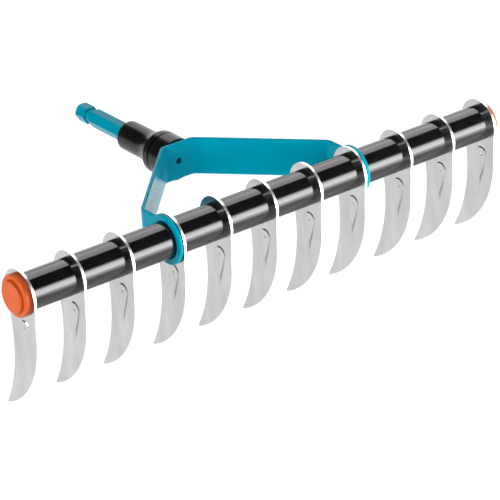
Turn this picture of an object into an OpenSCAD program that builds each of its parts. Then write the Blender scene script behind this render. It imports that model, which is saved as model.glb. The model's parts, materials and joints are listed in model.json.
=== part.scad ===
// Thatch rake head: crescent blades on an axle that swings in the eyes of a bent strip yoke.
// The handle's axis is +Y, the axle runs along X, and the origin is where the handle's mouth seats.

/* [Blades] */
// Number of blades on the axle
tine_count = 11; // [7:2:15]
// Distance from one blade to the next, where no eye sits between them
tine_pitch = 34.5; // [30:0.5:45]
// Thickness of the blade sheet
tine_t = 1.6; // [1.2:0.1:2.4]
// Diameter of the round head of a blade
tine_head_d = 31.6; // [29:0.2:35]
// Reach of a blade, from the axle's centre to its tip
tine_reach = 84.4; // [76:0.2:92]
// Distance of a blade's tip behind the axle
tip_back = 18.7; // [14:0.1:24]
// Distance of a blade's front edge ahead of the axle, where it bulges most
front_bulge = 16.5; // [16:0.1:18.5]
// Depth of that bulge below the axle
front_drop = 26; // [22:0.5:32]
// Radius of a blade's hollow back edge
back_r = 93.6; // [80:0.2:120]
// Angle of the hanging blades, turned back from square to the handle
head_tilt = 5; // [0:0.5:10]

/* [Teardrop bead] */
// Width of the stamped bead at its round end
bead_w = 10.6; // [8:0.1:12]
// Height of the stamped bead
bead_h = 0.5; // [0.3:0.1:0.8]
// Length of the bead's tail below the middle of its round end
bead_l = 27; // [20:0.5:32]
// Depth of the round end's middle below the axle
bead_drop = 20.6; // [20:0.1:24]
// Distance of the round end's middle ahead of the axle
bead_ahead = 4.9; // [3:0.1:6]
// Lean of the tail towards the back
bead_lean = 7; // [0:0.5:12]
// Diameter of the punch mark on the bead's crown
punch_d = 1.6; // [1:0.1:2.4]

/* [Axle] */
// Outer diameter of a spacer sleeve
sleeve_d = 23; // [21:0.1:25]
// Diameter of the flare at a sleeve's end
flare_end_d = 27; // [25.6:0.1:28]
// Length of that flare
flare_end_l = 3; // [2:0.1:4]
// Width of the square bar inside the sleeves
bar_w = 12; // [9:0.1:12.4]
// Diameter of the clamping washers
washer_d = 22; // [18:0.1:23]
// Thickness of the clamping washers
washer_t = 1.2; // [0.8:0.1:1.4]
// Diameter of the axle screws
axle_screw_d = 6; // [5:0.1:7]
// Length of an axle screw in the bar
axle_screw_l = 16; // [10:0.5:30]
// Diameter of an axle screw's head
axle_head_d = 12; // [10:0.1:14]
// Height of an axle screw's head
axle_head_h = 3; // [2:0.1:3.2]
// Width of the hexagon socket in that head
axle_socket_w = 5; // [4:0.1:6]

/* [End caps] */
// Diameter of an end cap
cap_d = 26.4; // [25.6:0.1:29]
// Height of an end cap
cap_h = 6; // [5.9:0.1:8]
// Diameter of the raised disc on the cap
cap_disc_d = 20.4; // [18:0.1:22]
// Rise of that disc above the cap's shoulder
cap_disc_h = 2.2; // [1.2:0.1:2.6]
// Rounding of the cap's edges
cap_edge = 1; // [0.4:0.1:1.2]
// Thickness of the cap's top
cap_top_t = 1.5; // [1.4:0.1:1.6]

/* [Yoke] */
// Width of the yoke's strip
strip_w = 25; // [20:0.5:26]
// Thickness of the yoke's strip
strip_t = 2.5; // [2.2:0.1:3.6]
// Radius of the strip's bends, at its middle
bend_r = 6; // [4:0.1:8]
// Distance from the axle to the front of the yoke's middle plate
yoke_reach = 86; // [80:0.5:110]
// Distance between the two bends of the middle plate
plate_w = 22.6; // [20:0.1:30]
// Distance of the outer bends behind the axle
ear_l = 23.4; // [22:0.1:30]
// Number of blades between the yoke's eyes
straddled_count = 5; // [3:2:5]
// Outer diameter of the yoke's eyes
eye_d = 32; // [30:0.1:36]
// Swing of the blades forward from rest
swing_front = 50; // [20:1:50]
// Swing of the blades back from rest
swing_back = 32; // [20:1:33]

/* [Handle end] */
// Length of the plain ring behind the yoke
base_ring_l = 13; // [8:0.5:20]
// Length of the collar's flange
collar_flange_l = 4.5; // [3:0.5:10]
// Diameter of the ring and of the collar's flange
collar_d = 28; // [25:0.1:30]
// Length of the collar's flare
flare_l = 14; // [8:0.5:20]
// Diameter of the collar's neck
neck_d = 19.6; // [17:0.1:21]
// Length of the collar's neck
neck_l = 21; // [14:0.5:28]
// Diameter of the tang over its rounded corners
tang_d = 12.4; // [11.6:0.1:13]
// Width of the tang across its six flats
tang_flats = 10.8; // [10.2:0.1:11.6]
// Free length of the tang's shank
shank_l = 39; // [30:0.5:50]
// Length of the tang's ring groove
groove_l = 4.6; // [3:0.1:8]
// Diameter in the tang's ring groove
groove_d = 9.2; // [7.5:0.1:10]
// Length of the tang's knob, past the groove
knob_l = 10.4; // [8:0.1:16]
// Chamfer of the tang's end
tang_chamfer = 1.2; // [0.4:0.1:2]
// Diameter of the screw that holds the tang
tang_screw_d = 6; // [5.4:0.1:6.4]
// Length of that screw
tang_screw_l = 22; // [14:0.5:40]
// Diameter of that screw's countersunk head
tang_head_d = 10; // [9:0.1:10.6]
// Width of that screw's hexagon socket
socket_w = 4.2; // [3:0.1:4.6]

/* [Hidden] */
$fn = 96;

// Clearances, the overrun of cuts, the lap of joined runs and the steps in a small rounding
running_gap = 0.08;
side_gap = 0.4;
slip_gap = 0.1;
overrun = 1;
seam_lap = 0.3;
arc_steps = 5;
quarter_turn = 90;

// Blade outline: a round head, a bulging front edge and a hollow back edge that meet in the tip
head_r = tine_head_d / 2;
tip_trim = 1.2;
blend_bite = 0.12;
sharp_reach = tine_reach + tip_trim;
sharp_tip = [tip_back, -sqrt(pow(sharp_reach, 2) - pow(tip_back, 2))];
front_rise = sharp_tip + [front_bulge, front_drop];
front_r = (pow(front_rise.x, 2) + pow(front_rise.y, 2)) / (2 * front_rise.x);
front_c = [front_r - front_bulge, -front_drop];
front_angle = atan2(front_c.y, front_c.x) - acos((head_r - front_r) / norm(front_c));
front_dir = [cos(front_angle), sin(front_angle)];
back_c_reach = back_r + head_r - blend_bite;
back_c_along = (pow(back_c_reach, 2) - pow(back_r, 2) + pow(sharp_reach, 2)) / (2 * sharp_reach);
back_c_aside = sqrt(pow(back_c_reach, 2) - pow(back_c_along, 2));
back_c = (back_c_along * sharp_tip + back_c_aside * [-sharp_tip.y, sharp_tip.x]) / sharp_reach;
neck_z = head_r * back_c.y / norm(back_c);

// Bead: a ball with a long cone, sunk in the sheet and cut flat, so that a low teardrop stands out
bead_ball_share = 1.79;
bead_ball_r = bead_ball_share * bead_w / 2;
bead_sink = sqrt(pow(bead_ball_r, 2) - pow(bead_w / 2, 2));
tail_run_share = 1.2;
tail_l = bead_l * tail_run_share;
tail_r = bead_ball_r - (bead_ball_r - bead_sink) * tail_run_share;
punch_h = 0.5;

// Places along the axle: each eye takes its own thickness beside the outermost blade of the fork
mid_tine = (tine_count + 1) / 2;
eye_tine_left = mid_tine - (straddled_count - 1) / 2;
eye_tine_right = mid_tine + (straddled_count - 1) / 2;
function eye_shift(i) = i < eye_tine_left ? -strip_t : i > eye_tine_right ? strip_t : 0;
function tine_x(i) = (i - mid_tine) * tine_pitch + eye_shift(i);

// Axle
sleeve_r = sleeve_d / 2;
flare_end_r = flare_end_d / 2;
flare_edge = 0.5;
bore_r = bar_w / sqrt(2) + slip_gap;
stack_half = tine_x(tine_count) + tine_t / 2;
bar_half = stack_half - slip_gap;
cap_r = cap_d / 2;
cap_inner_r = washer_d / 2 + slip_gap / 2;
cap_shoulder_h = cap_h - cap_disc_h;
head_hollow_r = axle_head_d / 2 + side_gap;
washer_hollow_h = washer_t + slip_gap;

// Yoke, in a frame with the axle at the origin
eye_bore_r = sleeve_r + running_gap;
eye_r = eye_d / 2;
eye_round_share = 0.44;
eye_bore_round_share = 0.4;
eye_round = eye_round_share * strip_t;
eye_bore_round = eye_bore_round_share * strip_t;
strip_round_share = 0.4;
strip_round = strip_round_share * strip_t;
ear_x = tine_x(eye_tine_right) + tine_t / 2 + side_gap + strip_t / 2;
plate_y = yoke_reach + strip_t / 2;
arm_angle = atan2(plate_y - ear_l, ear_x - plate_w / 2);
arm_dir = [cos(arm_angle), -sin(arm_angle)];
plate_bend = [plate_w / 2, plate_y];
ear_bend = [ear_x, ear_l];
plate_tangent = bend_r * tan(arm_angle / 2);
ear_tangent = bend_r * tan((quarter_turn - arm_angle) / 2);

// Stop: a tooth in the right eye, in a recess of the sleeve that leaves it the swing
stop_h = 1.4;
stop_half_angle = 12;
stop_slack_angle = 1;
stop_from = -stop_half_angle - swing_back - stop_slack_angle;
stop_sweep = 2 * stop_half_angle + swing_back + swing_front + 2 * stop_slack_angle;
stop_share = 0.6;
stop_t = stop_share * strip_t;

// Handle end, along Y with the origin at the root of the collar's neck
axle_y = -(yoke_reach + strip_t + base_ring_l + collar_flange_l + flare_l);
plate_back_y = axle_y + yoke_reach + strip_t;
flange_y = plate_back_y + base_ring_l;
collar_r = collar_d / 2;
neck_r = neck_d / 2;
neck_round = 1.2;
flare_rise = collar_r - neck_r;
flare_bend_r = (pow(flare_l, 2) + pow(flare_rise, 2)) / (2 * flare_rise);
flare_sweep = asin(flare_l / flare_bend_r);
ring_step = 1.2;
shank_end_y = neck_l + shank_l;
tang_r = tang_d / 2;
tang_bore_r = tang_r + slip_gap;
tang_head_h = (tang_head_d - tang_screw_d) / 2;
socket_h = 4;
hex_sides = 6;

paint = [0.0, 0.55, 0.66];
zinc = [0.8, 0.8, 0.81];
sleeve_black = [0.05, 0.05, 0.06];
collar_black = [0.13, 0.13, 0.13];
orange = [0.92, 0.36, 0.14];
steel = [0.6, 0.61, 0.63];

// Points of an arc, from one angle to another
function arc(c, r, from, to) =
  [for (k = [0 : arc_steps]) let (a = from + (to - from) * k / arc_steps) c + r * [cos(a), sin(a)]];

// Corner points of a rectangle, its inner and outer corners rounded by different radii
function rounded_section(low, high, inner, outer) = concat(
  arc([high.x - outer, high.y - outer], outer, 0, quarter_turn),
  arc([low.x + inner, high.y - inner], inner, quarter_turn, 2 * quarter_turn),
  arc([low.x + inner, low.y + inner], inner, -2 * quarter_turn, -quarter_turn),
  arc([high.x - outer, low.y + outer], outer, -quarter_turn, 0)
);

// Frames of the axle, with and without the tilt of the hanging blades
module on_yoke() translate([0, axle_y, 0]) children();

module on_head() on_yoke() rotate([head_tilt, 0, 0]) children();

// Turns a revolved form from the Z axis to the X axis or to the Y axis
module along_x() rotate([0, quarter_turn, 0]) children();

module along_y() rotate([-quarter_turn, 0, 0]) children();

// An outline drawn in Y and Z, made as thick as the sheet
module sheet(t) rotate([quarter_turn, 0, quarter_turn]) linear_extrude(t, center = true) children();

// A hexagon bar of a width across flats, for the sockets
module hexagon(w, h) cylinder(h = h, d = w / cos(quarter_turn * 2 / hex_sides), $fn = hex_sides);

module blade_outline() {
  intersection() {
    circle(r = tine_reach);
    difference() {
      union() {
        circle(r = head_r);
        polygon([
          [0, 0],
          (head_r - blend_bite) * front_dir,
          front_c + (front_r - blend_bite) * front_dir,
          [0, front_c.y + front_r * front_dir.y]
        ]);
        intersection() {
          translate(front_c) circle(r = front_r);
          translate([-tine_reach, neck_z - tine_reach]) square([2 * tine_reach, tine_reach]);
        }
      }
      translate(back_c) circle(r = back_r);
      square(bar_w + 2 * slip_gap, center = true);
    }
  }
}

// The ball and cone of the bead, at the sheet's left face, cut flat at the bead's height
module bead_body() {
  intersection() {
    translate([bead_sink - tine_t / 2, -bead_ahead, -bead_drop])
      rotate([bead_lean, 0, 0])
        rotate_extrude() {
          intersection() {
            circle(r = bead_ball_r);
            square(bead_ball_r);
          }
          polygon([[0, 0], [bead_ball_r, 0], [tail_r, -tail_l], [0, -tail_l]]);
        }
    translate([-tine_t / 2 - bead_h, -tine_reach, -tine_reach]) cube([tine_reach, 2 * tine_reach, tine_reach]);
  }
}

module tine(i) {
  color(zinc)
    on_head()
      translate([tine_x(i), 0, 0])
        difference() {
          union() {
            sheet(tine_t) blade_outline();
            intersection() {
              bead_body();
              translate([-tine_t / 2 - bead_h - overrun, -tine_reach, -tine_reach])
                cube([tine_t / 2 + bead_h + overrun, 2 * tine_reach, tine_reach]);
            }
          }
          translate([tine_t, 0, 0]) bead_body();
          translate([-tine_t / 2 - bead_h - overrun, -bead_ahead, -bead_drop])
            along_x() cylinder(h = overrun + punch_h, d = punch_d);
        }
}

// A sleeve between two blades. The one in the left eye has no flare, the one in the right eye the
// recess of the stop.
module sleeve(i) {
  flared = i != eye_tine_left - 1;
  l = tine_x(i + 1) - tine_x(i) - tine_t;
  flare = [[sleeve_r, l - flare_end_l], [flare_end_r, l - flare_edge], [flare_end_r, l]];
  inside = [[bore_r, l], [bore_r, 0], [sleeve_r, 0]];
  color(sleeve_black)
    on_head()
      translate([tine_x(i) + tine_t / 2, 0, 0])
        difference() {
          along_x() rotate_extrude() polygon(concat(inside, flared ? flare : [[sleeve_r, l]]));
          if (i == eye_tine_right) stop_recess();
        }
}

// The sector of the sleeve's end in which the stop tooth travels
module stop_recess() {
  translate([-overrun, 0, 0])
    rotate([stop_from - head_tilt, 0, 0])
      rotate([quarter_turn, 0, quarter_turn])
        rotate_extrude(angle = stop_sweep)
          translate([eye_bore_r - stop_h - side_gap, 0])
            square([stop_h + side_gap + overrun, strip_t + 2 * side_gap + overrun]);
}

module axle_bar() {
  color(steel)
    on_head()
      difference() {
        cube([2 * bar_half, bar_w, bar_w], center = true);
        for (side = [-1, 1])
          translate([side * bar_half, 0, 0])
            along_x()
              cylinder(h = 2 * (axle_screw_l + slip_gap), d = axle_screw_d + slip_gap, center = true);
      }
}

// Places a piece that points along +X from the stack's outer face, on the left or the right
module on_end(side) {
  on_head()
    translate([side * stack_half, 0, 0])
      mirror([side < 0 ? 1 : 0, 0, 0]) children();
}

module washer(side) {
  color(steel)
    on_end(side)
      along_x()
        difference() {
          cylinder(h = washer_t, d = washer_d);
          translate([0, 0, -overrun])
            cylinder(h = washer_t + 2 * overrun, d = axle_screw_d + 2 * slip_gap);
        }
}

module axle_screw(side) {
  color(steel)
    on_end(side)
      translate([washer_t, 0, 0])
        along_x()
          difference() {
            union() {
              cylinder(h = axle_head_h, d = axle_head_d);
              translate([0, 0, -axle_screw_l])
                cylinder(h = axle_screw_l + axle_head_h / 2, d = axle_screw_d);
            }
            translate([0, 0, axle_head_h / 2]) hexagon(axle_socket_w, axle_head_h);
          }
}

// A cap with a raised disc, hollow for the washer and for the screw's head
module end_cap(side) {
  disc_r = cap_disc_d / 2;
  hollow_h = cap_h - cap_top_t;
  color(orange)
    on_end(side)
      along_x()
        rotate_extrude()
          polygon(concat(
            [[cap_inner_r, 0], [cap_r, 0]],
            arc([cap_r - cap_edge, cap_shoulder_h - cap_edge], cap_edge, 0, quarter_turn),
            [[disc_r, cap_shoulder_h]],
            arc([disc_r - cap_edge, cap_h - cap_edge], cap_edge, 0, quarter_turn),
            [[0, cap_h], [0, hollow_h], [head_hollow_r, hollow_h]],
            [[head_hollow_r, washer_hollow_h], [cap_inner_r, washer_hollow_h]]
          ));
}

// Cross section of the strip: thickness along X, width along Y
module strip_section() {
  corner = [strip_t, strip_w] / 2;
  polygon(rounded_section(-corner, corner, strip_round, strip_round));
}

// A straight run of the strip, lapped a little into what it joins at each end
module strip_run(from, to) {
  run = to - from;
  start = from - seam_lap * run / norm(run);
  translate([start.x, start.y, 0])
    rotate([0, 0, atan2(run.y, run.x)])
      rotate([quarter_turn, 0, quarter_turn])
        linear_extrude(norm(run) + 2 * seam_lap) strip_section();
}

module strip_turn(centre, start, turn) {
  translate([centre.x, centre.y, 0])
    rotate([0, 0, start])
      rotate_extrude(angle = turn) translate([bend_r, 0]) strip_section();
}

function eye_section() =
  rounded_section([eye_bore_r, -strip_t / 2], [eye_r, strip_t / 2], eye_bore_round, eye_round);

// Right half of the fork, from the middle plate to the eye
module half_fork() {
  difference() {
    union() {
      strip_run([0, plate_y], plate_bend - [plate_tangent, 0]);
      strip_turn(plate_bend - [plate_tangent, bend_r], quarter_turn - arm_angle, arm_angle);
      strip_run(plate_bend + plate_tangent * arm_dir, ear_bend - ear_tangent * arm_dir);
      strip_turn(ear_bend - [bend_r, ear_tangent], 0, quarter_turn - arm_angle);
      strip_run(ear_bend - [0, ear_tangent], [ear_x, 0]);
    }
    translate([ear_x, 0, 0])
      along_x() cylinder(h = strip_t + 2 * overrun, r = (eye_bore_r + eye_r) / 2, center = true);
  }
  translate([ear_x, 0, 0]) along_x() rotate_extrude() polygon(eye_section());
}

// Tooth of the stop, at the back of the right eye
module stop_tooth() {
  translate([ear_x - stop_t / 2, 0, 0])
    rotate([-stop_half_angle, 0, 0])
      rotate([quarter_turn, 0, quarter_turn])
        rotate_extrude(angle = 2 * stop_half_angle)
          translate([eye_bore_r - stop_h, 0]) square([stop_h + eye_bore_round, stop_t]);
}

module yoke() {
  color(paint)
    on_yoke()
      difference() {
        union() {
          half_fork();
          mirror([1, 0, 0]) half_fork();
          stop_tooth();
        }
        translate([0, yoke_reach, 0])
          along_y() {
            translate([0, 0, -overrun])
              cylinder(h = strip_t + 2 * overrun, d = tang_screw_d + 2 * slip_gap);
            cylinder(h = tang_head_h, d1 = tang_head_d + 2 * slip_gap, d2 = tang_screw_d + 2 * slip_gap);
            translate([0, 0, -overrun]) cylinder(h = overrun, d = tang_head_d + 2 * slip_gap);
          }
      }
}

module tang_screw() {
  color(paint)
    on_yoke()
      translate([0, yoke_reach, 0])
        along_y()
          difference() {
            union() {
              cylinder(h = tang_head_h, d1 = tang_head_d, d2 = tang_screw_d);
              cylinder(h = tang_screw_l, d = tang_screw_d);
            }
            translate([0, 0, -overrun]) hexagon(socket_w, socket_h + overrun);
          }
}

// Hexagon bar with turned corners, one of its flats facing up
module tang_bar(gap, l) {
  intersection() {
    hexagon(tang_flats + 2 * gap, l);
    cylinder(h = l, r = tang_r + gap);
  }
}

module tang() {
  groove_r = groove_d / 2;
  shank_end = shank_end_y - plate_back_y;
  groove_from = shank_end - tang_r + groove_r;
  knob_from = shank_end + groove_l;
  knob_to = knob_from + knob_l;
  color(paint)
    translate([0, plate_back_y, 0])
      along_y()
        difference() {
          tang_bar(0, knob_to);
          rotate_extrude()
            polygon([
              [groove_r, shank_end],
              [groove_r, knob_from],
              [tang_r + overrun, knob_from],
              [tang_r + overrun, groove_from - overrun]
            ]);
          rotate_extrude()
            polygon([
              [tang_r + overrun, knob_to - tang_chamfer - overrun],
              [tang_r + overrun, knob_to + overrun],
              [tang_r - tang_chamfer - overrun, knob_to + overrun]
            ]);
          translate([0, 0, -overrun])
            cylinder(h = tang_screw_l - strip_t + 2 * overrun, d = tang_screw_d + 2 * slip_gap);
        }
}

module collar_base_ring() {
  color(collar_black)
    translate([0, plate_back_y, 0])
      along_y()
        rotate_extrude()
          polygon([
            [tang_bore_r, 0],
            [collar_r, 0],
            [collar_r, base_ring_l - ring_step],
            [collar_r - ring_step, base_ring_l - ring_step],
            [collar_r - ring_step, base_ring_l],
            [tang_bore_r, base_ring_l]
          ]);
}

module handle_collar() {
  root = collar_flange_l + flare_l;
  collar_l = root + neck_l;
  flare_c = [neck_r + flare_bend_r, root];
  color(collar_black)
    translate([0, flange_y, 0])
      along_y()
        difference() {
          rotate_extrude()
            polygon(concat(
              [[0, 0], [collar_r, 0]],
              arc(flare_c, flare_bend_r, 2 * quarter_turn + flare_sweep, 2 * quarter_turn),
              arc([neck_r - neck_round, collar_l - neck_round], neck_round, 0, quarter_turn),
              [[0, collar_l]]
            ));
          translate([0, 0, -overrun]) tang_bar(slip_gap, collar_l + 2 * overrun);
        }
}

yoke();
tang();
tang_screw();
handle_collar();
collar_base_ring();
axle_bar();
washer(-1);  // washer_left
washer(1);  // washer_right
axle_screw(-1);  // axle_screw_left
axle_screw(1);  // axle_screw_right
end_cap(-1);  // end_cap_left
end_cap(1);  // end_cap_right
for (i = [1 : tine_count]) {
  tine(i);
}
for (i = [1 : tine_count - 1]) {
  sleeve(i);
}
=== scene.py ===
"""Thatch rake head: finishes, sleeves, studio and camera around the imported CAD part. Units are metres."""
import json
from math import cos, hypot, radians, sin

import bmesh
import bpy
from mathutils import Matrix, Vector


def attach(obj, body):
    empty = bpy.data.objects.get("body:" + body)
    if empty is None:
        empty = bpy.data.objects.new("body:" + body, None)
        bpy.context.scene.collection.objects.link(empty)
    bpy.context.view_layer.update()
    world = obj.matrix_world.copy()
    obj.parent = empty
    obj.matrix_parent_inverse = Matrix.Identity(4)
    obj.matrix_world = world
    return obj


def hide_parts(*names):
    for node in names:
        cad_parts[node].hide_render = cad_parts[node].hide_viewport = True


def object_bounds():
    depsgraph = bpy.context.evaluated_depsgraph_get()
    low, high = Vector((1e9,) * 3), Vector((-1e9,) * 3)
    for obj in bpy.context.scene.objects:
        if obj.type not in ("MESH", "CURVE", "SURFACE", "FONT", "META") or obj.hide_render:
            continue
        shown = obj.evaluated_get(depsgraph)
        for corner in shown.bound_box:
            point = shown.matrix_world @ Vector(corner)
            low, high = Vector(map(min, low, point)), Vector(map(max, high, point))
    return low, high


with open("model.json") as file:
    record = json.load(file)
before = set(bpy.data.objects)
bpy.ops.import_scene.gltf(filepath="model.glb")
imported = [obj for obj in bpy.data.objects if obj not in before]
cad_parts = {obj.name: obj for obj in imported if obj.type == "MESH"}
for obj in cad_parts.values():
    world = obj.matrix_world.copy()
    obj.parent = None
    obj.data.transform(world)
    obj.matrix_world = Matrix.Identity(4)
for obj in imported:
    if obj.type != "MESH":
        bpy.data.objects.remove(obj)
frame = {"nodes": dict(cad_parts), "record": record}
cad_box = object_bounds()
nodes = frame["nodes"]

# The part: its axle, the tilt of the blade head and the radius of the sleeves
AXLE = Vector((0, -0.120, 0))
HEAD_TILT = radians(5)
SLEEVE_R = 0.0115

# Sleeve meshes: corners closer than this are joined, and edges over this angle stay sharp
JOIN_DISTANCE = 1e-6
SHARP_ANGLE = radians(30)

# Middle of a noise's values, over which a finish runs from one end of its range to the other
NOISE_LOW = 0.3
NOISE_HIGH = 0.7

# Floor, a little under the part, and the light from all round
FLOOR_SIZE = 12
FLOOR_GAP = 0.0005
WORLD_STRENGTH = 0.03

# Low lights in front, which the sleeves mirror as a bright band. They start just over the floor. Each
# strip has the height of its top edge above the axle and its power in watts. Each glow lies flat between
# the strips and the part, and has its depth and its power.
TABLE_TOP = -0.079
FRONT_Y = -0.50
STRIP_X = 0.25
STRIP_WIDTH = 0.62
STRIPS = ((0.055, 3.0), (0.105, 3.8), (0.165, 2.0))
GLOW_X = 0.22
GLOW_WIDTH = 0.6
GLOWS = ((0.17, 1.6), (0.24, 0.9))

# The photograph's camera, given in a frame that stands level with the blades: bearing and
# elevation of the line of sight, lens and sensor in millimetres, and the place of the eye from the axle
CAMERA_BEARING = radians(37.29)
CAMERA_ELEVATION = radians(30.35)
CAMERA_LENS = 203.2
CAMERA_SENSOR = 36
CAMERA_PLACE = Vector((-0.9108, -1.1842, 0.8421))


# Small helpers for node materials
class Nodes:
    """A new material with a Principled shader, and short calls that add nodes and links."""

    def __init__(self, name):
        self.material = bpy.data.materials.new(name)
        self.material.use_nodes = True
        self.tree = self.material.node_tree
        self.shader = self.tree.nodes["Principled BSDF"]
        self.place = self.add("ShaderNodeTexCoord").outputs["Object"]

    def add(self, kind, **settings):
        node = self.tree.nodes.new(kind)
        for key, value in settings.items():
            setattr(node, key, value)
        return node

    def link(self, output, socket):
        self.tree.links.new(output, socket)

    def set(self, **values):
        for key, value in values.items():
            self.shader.inputs[key.replace("_", " ")].default_value = value

    def colour(self, output):
        self.link(output, self.shader.inputs["Base Color"])

    def roughness(self, output):
        self.link(output, self.shader.inputs["Roughness"])

    def stretched(self, scale):
        """Object coordinates, scaled apart along each axis."""
        node = self.add("ShaderNodeMapping")
        node.inputs["Scale"].default_value = scale
        self.link(self.place, node.inputs["Vector"])
        return node.outputs["Vector"]

    def noise(self, scale, detail=2.0, vector=None):
        node = self.add("ShaderNodeTexNoise")
        node.inputs["Scale"].default_value = scale
        node.inputs["Detail"].default_value = detail
        self.link(vector or self.place, node.inputs["Vector"])
        return node.outputs["Fac"]

    def span(self, value, to_low, to_high, low=NOISE_LOW, high=NOISE_HIGH):
        """A value mapped from one span to another, held at its ends."""
        node = self.add("ShaderNodeMapRange")
        self.link(value, node.inputs["Value"])
        ends = {"From Min": low, "From Max": high, "To Min": to_low, "To Max": to_high}
        for key, number in ends.items():
            node.inputs[key].default_value = number
        return node.outputs["Result"]

    def shades(self, value, first, last, low=NOISE_LOW, high=NOISE_HIGH):
        """A colour that runs from first to last along a value."""
        node = self.add("ShaderNodeValToRGB")
        for point, at, colour in zip(node.color_ramp.elements, (low, high), (first, last)):
            point.position = at
            point.color = (*colour, 1)
        self.link(value, node.inputs["Fac"])
        return node.outputs["Color"]

    def mix(self, share, a, b):
        node = self.add("ShaderNodeMix", data_type="RGBA")
        self.link(share, node.inputs["Factor"])
        self.link(a, node.inputs["A"])
        self.link(b, node.inputs["B"])
        return node.outputs["Result"]

    def raised(self, value, share, most):
        """A value raised by a share of the most that it can gain."""
        node = self.add("ShaderNodeMath", operation="MULTIPLY_ADD")
        self.link(share, node.inputs[0])
        node.inputs[1].default_value = most
        self.link(value, node.inputs[2])
        return node.outputs["Value"]

    def bump(self, height, distance, strength):
        node = self.add("ShaderNodeBump")
        node.inputs["Distance"].default_value = distance
        node.inputs["Strength"].default_value = strength
        self.link(height, node.inputs["Height"])
        self.link(node.outputs["Normal"], self.shader.inputs["Normal"])

    def facing(self, axis):
        """How far the surface faces along an axis of the part, without sign."""
        split = self.add("ShaderNodeSeparateXYZ")
        self.link(self.add("ShaderNodeTexCoord").outputs["Normal"], split.inputs["Vector"])
        node = self.add("ShaderNodeMath", operation="ABSOLUTE")
        self.link(split.outputs[axis], node.inputs[0])
        return node.outputs["Value"]


def turquoise_paint():
    m = Nodes("turquoise_paint")
    cloud = m.noise(60, 3)
    m.colour(m.shades(cloud, (0.0, 0.176, 0.253), (0.0, 0.190, 0.272), low=0.35, high=0.65))
    m.roughness(m.span(m.noise(900), 0.14, 0.2))
    m.bump(m.noise(300, 1), 0.00001, 0.1)
    m.set(Specular_IOR_Level=0.1, Specular_Tint=(0.0, 0.7, 0.85, 1))
    return m.material


def zinc_sheet():
    """Bright zinc on rolled sheet: faint grain down the blade, dull on the cut edge, whose pale colour is a
    painted highlight for the light that catches the rims.
    """
    m = Nodes("zinc_sheet")
    edge = m.span(m.facing("X"), 1, 0, low=0.35, high=0.75)
    cloud = m.noise(38, 4, m.stretched((1, 2.2, 0.8)))
    face = m.shades(cloud, (0.48, 0.48, 0.48), (0.57, 0.57, 0.57))
    # The pale colour of the edge faces is a painted highlight standing in for the light on the rims; only
    # the extra dullness there is the edge's own.
    edge_colour_with_painted_highlight = m.shades(m.noise(700), (0.82, 0.82, 0.82), (0.95, 0.95, 0.95))
    m.colour(m.mix(edge, face, edge_colour_with_painted_highlight))
    grain = m.noise(260, 3, m.stretched((1, 6, 0.35)))
    m.roughness(m.raised(m.span(grain, 0.18, 0.26), edge, 0.12))
    m.bump(grain, 0.00003, 0.5)
    m.set(Metallic=1.0)
    return m.material


def gloss_black():
    """Glossy black plastic with faint streaks along the axle."""
    m = Nodes("gloss_black")
    m.colour(m.shades(m.noise(90), (0.0016, 0.0016, 0.0018), (0.0026, 0.0026, 0.0028)))
    m.roughness(m.span(m.noise(400, 3, m.stretched((0.3, 1, 1))), 0.09, 0.14))
    m.bump(m.noise(500, vector=m.stretched((0.25, 1, 1))), 0.00003, 0.3)
    m.set(Specular_IOR_Level=0.6)
    return m.material


def dark_plastic():
    m = Nodes("dark_plastic")
    m.colour(m.shades(m.noise(120, 3), (0.0030, 0.0028, 0.0027), (0.0050, 0.0046, 0.0044)))
    m.roughness(m.span(m.noise(1500), 0.2, 0.27))
    m.bump(m.noise(2600, 1), 0.00004, 0.4)
    m.set(Specular_IOR_Level=0.3)
    return m.material


def orange_plastic():
    m = Nodes("orange_plastic")
    m.colour(m.shades(m.noise(150), (0.40, 0.060, 0.005), (0.44, 0.067, 0.007)))
    m.roughness(m.span(m.noise(800), 0.34, 0.44))
    m.bump(m.noise(1800, 1), 0.00004, 0.4)
    m.set(Specular_IOR_Level=0.22)
    return m.material


def plain_steel():
    m = Nodes("plain_steel")
    m.colour(m.shades(m.noise(80, 3), (0.42, 0.43, 0.44), (0.54, 0.55, 0.56)))
    m.roughness(m.span(m.noise(500, 3, m.stretched((0.1, 1, 1))), 0.3, 0.42))
    m.set(Metallic=1.0)
    return m.material


def pale_floor():
    """The white top of a shooting table, lit from below."""
    m = Nodes("pale_floor")
    m.colour(m.shades(m.noise(9, 3), (0.13, 0.13, 0.13), (0.15, 0.15, 0.15)))
    m.set(Roughness=0.9, Emission_Color=(1, 1, 1, 1), Emission_Strength=0.92)
    return m.material


# Finish of each node, by the record's slots
FINISHES = {
    "turquoise_paint": turquoise_paint(),
    "dark_plastic": dark_plastic(),
    "plain_steel": plain_steel(),
    "zinc_plated_steel": zinc_sheet(),
    "black_plastic": gloss_black(),
    "orange_plastic": orange_plastic(),
}
for part in frame["record"]["subparts"]:
    mesh = nodes[part["node"]].data
    mesh.materials.clear()
    mesh.materials.append(FINISHES[part["material_slot"]])


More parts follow.
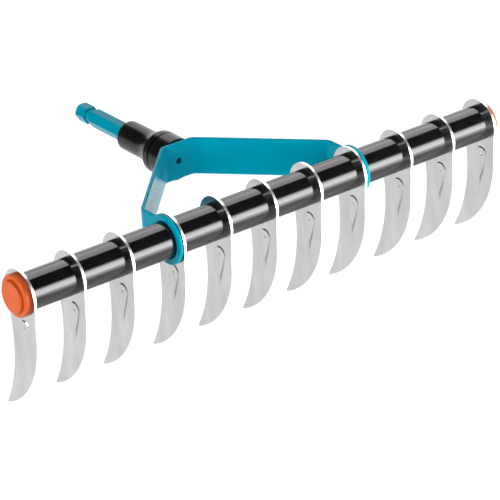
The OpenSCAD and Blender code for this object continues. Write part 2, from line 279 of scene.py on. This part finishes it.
# Sleeves
def make_barrel(name):
    """A straight barrel in place of a sleeve: its flare is brought in to the sleeve's radius."""
    cad = nodes[name]
    mesh = bmesh.new()
    mesh.from_mesh(cad.data)
    mesh.transform(cad.matrix_world)
    for vertex in mesh.verts:
        out = vertex.co - AXLE
        reach = hypot(out.y, out.z)
        if reach > SLEEVE_R:
            vertex.co.y = AXLE.y + out.y * SLEEVE_R / reach
            vertex.co.z = AXLE.z + out.z * SLEEVE_R / reach
    bmesh.ops.remove_doubles(mesh, verts=mesh.verts, dist=JOIN_DISTANCE)
    data = bpy.data.meshes.new(name + "_barrel")
    mesh.to_mesh(data)
    mesh.free()
    data.shade_smooth()
    data.set_sharp_from_angle(angle=SHARP_ANGLE)
    data.materials.append(FINISHES["black_plastic"])
    barrel = bpy.data.objects.new(name + "_barrel", data)
    bpy.context.scene.collection.objects.link(barrel)
    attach(barrel, "head")
    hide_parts(name)


# Studio
def make_floor():
    low, _ = cad_box
    bpy.ops.mesh.primitive_plane_add(size=FLOOR_SIZE, location=(0, 0, low.z - FLOOR_GAP))
    floor = bpy.context.object
    floor.name = "floor"
    floor.data.materials.append(pale_floor())


def soft_light(name, place, aim, size, power):
    """A rectangular soft light at a place, turned to its aim, with its size across and up."""
    data = bpy.data.lights.new(name, "AREA")
    data.shape = "RECTANGLE"
    data.size, data.size_y = size
    data.energy = power
    light = bpy.data.objects.new(name, data)
    light.location = place
    light.rotation_euler = (Vector(aim) - Vector(place)).to_track_quat("-Z", "Y").to_euler()
    light.visible_camera = False
    bpy.context.scene.collection.objects.link(light)


def make_low_lights():
    for top, power in STRIPS:
        middle = (top + TABLE_TOP) / 2
        size = (STRIP_WIDTH, top - TABLE_TOP)
        soft_light("low_front", (STRIP_X, FRONT_Y, middle), (STRIP_X, 0, middle), size, power)
    for depth, power in GLOWS:
        middle = FRONT_Y + depth / 2
        size = (GLOW_WIDTH, depth)
        soft_light("table_glow", (GLOW_X, middle, TABLE_TOP), (GLOW_X, middle, 1), size, power)


def make_lights():
    soft_light("overhead", place=(1.525, 0.97, 1.6), aim=(1.525, 0.97, 0), size=(2.15, 2.06), power=46)
    make_low_lights()
    soft_light("back_panel", place=(1.9, 2.2, 0.86), aim=(1.9, 0, 0.86), size=(3.0, 1.84), power=24)
    soft_light("left_fill", place=(-1.9, -0.7, 0.92), aim=(0, -0.1, 0), size=(1.2, 1.2), power=43)
    soft_light("left_back", place=(-2.0, 0.5, 0.45), aim=(0, 0, 0), size=(0.6, 0.6), power=20)
    soft_light("left_top", place=(-0.94, -0.46, 1.5), aim=AXLE, size=(0.2, 0.3), power=3)


def make_world():
    world = bpy.data.worlds.new("studio")
    world.use_nodes = True
    background = world.node_tree.nodes["Background"]
    background.inputs["Color"].default_value = (1, 1, 1, 1)
    background.inputs["Strength"].default_value = WORLD_STRENGTH
    bpy.context.scene.world = world


def make_camera():
    turn = Matrix.Rotation(HEAD_TILT, 3, "X")
    ahead = turn @ Vector((
        sin(CAMERA_BEARING) * cos(CAMERA_ELEVATION),
        cos(CAMERA_BEARING) * cos(CAMERA_ELEVATION),
        -sin(CAMERA_ELEVATION),
    ))
    right = turn @ Vector((cos(CAMERA_BEARING), -sin(CAMERA_BEARING), 0))
    axes = Matrix((right, right.cross(ahead), -ahead)).transposed()
    data = bpy.data.cameras.new("photo_camera")
    data.lens = CAMERA_LENS
    data.sensor_width = CAMERA_SENSOR
    camera = bpy.data.objects.new("photo_camera", data)
    camera.matrix_world = Matrix.Translation(AXLE + turn @ CAMERA_PLACE) @ axes.to_4x4()
    bpy.context.scene.collection.objects.link(camera)
    bpy.context.scene.camera = camera


for part in frame["record"]["subparts"]:
    if part["material_slot"] == "black_plastic":
        make_barrel(part["node"])
make_floor()
make_lights()
make_world()
make_camera()
bpy.context.scene.view_settings.view_transform = "Standard"
